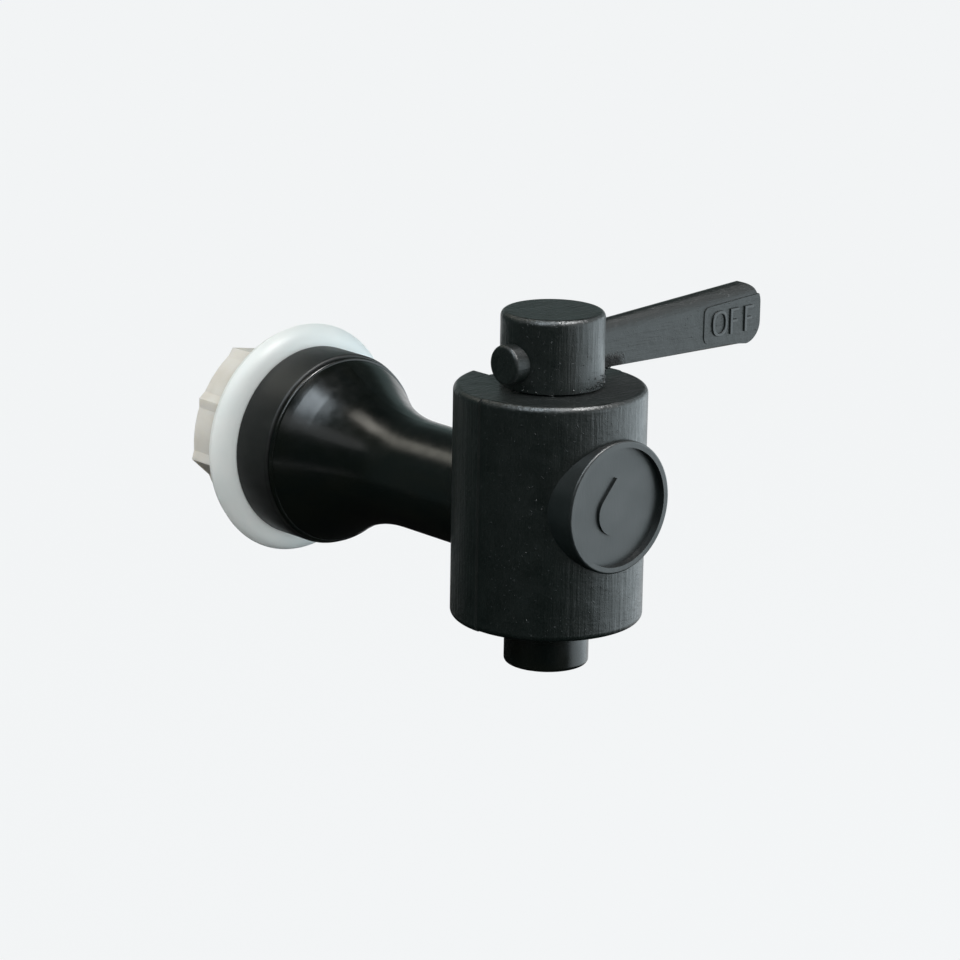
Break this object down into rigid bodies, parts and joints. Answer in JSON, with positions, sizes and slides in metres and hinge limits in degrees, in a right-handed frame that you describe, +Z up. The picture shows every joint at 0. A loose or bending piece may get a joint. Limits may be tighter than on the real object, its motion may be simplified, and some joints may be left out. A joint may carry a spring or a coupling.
{
  "type": "gravity water filter tap",
  "caption": "Quarter-turn lever tap for a gravity water filter: trumpet stem with threaded shank and hand nut, upright round body, side lever and downward spout.",
  "frame": {"origin": "on the shank's axis, in the plane where the rubber ring's back meets the outside of the vessel wall", "axes": "+Y along the shank into the vessel, -Y towards the user, +Z up, +X towards the lever's tip when shut"},
  "size_m": [0.0628, 0.0906, 0.0568],
  "materials": {
    "gloss_black_plastic": "glossy moulded black",
    "printed_black_plastic": "matt black with fine print lines",
    "smooth_black_plastic": "smooth satin black",
    "pin_plastic": "plain",
    "stainless_steel": "drawn",
    "plug_plastic": "turned smooth",
    "seal_rubber": "smooth",
    "slip_plastic": "plain",
    "gland_plastic": "moulded",
    "black_rubber": "satin dark rubber",
    "white_silicone": "pale, slightly blue, satin",
    "natural_nylon": "milky off-white"
  },
  "bodies": {
    "fixed_body": {"tap_body": "gloss_black_plastic", "front_shell": "printed_black_plastic", "rear_shell": "printed_black_plastic", "medallion": "smooth_black_plastic", "locating_pins": "pin_plastic", "shell_screw": "stainless_steel", "port_seal": "seal_rubber", "thrust_washer": "slip_plastic", "disc_spring": "stainless_steel", "gland_nut": "gland_plastic", "spindle_seal": "seal_rubber", "stop_pin": "stainless_steel", "rubber_ring": "black_rubber", "domed_washer": "white_silicone", "hand_nut": "natural_nylon"},
    "turning_lever": {"valve_plug": "plug_plastic", "upper_o_ring": "seal_rubber", "lower_o_ring": "seal_rubber", "head": "printed_black_plastic", "lever": "printed_black_plastic", "lever_screw": "stainless_steel", "tang_pin": "stainless_steel"}
  },
  "joints": [
    {"name": "lever_turn", "type": "hinge", "parent": "fixed_body", "child": "turning_lever", "pos_m": [0, -0.0585, 0.0258], "axis": [0, 0, 1], "range_deg": [-90, 0]}
  ]
}
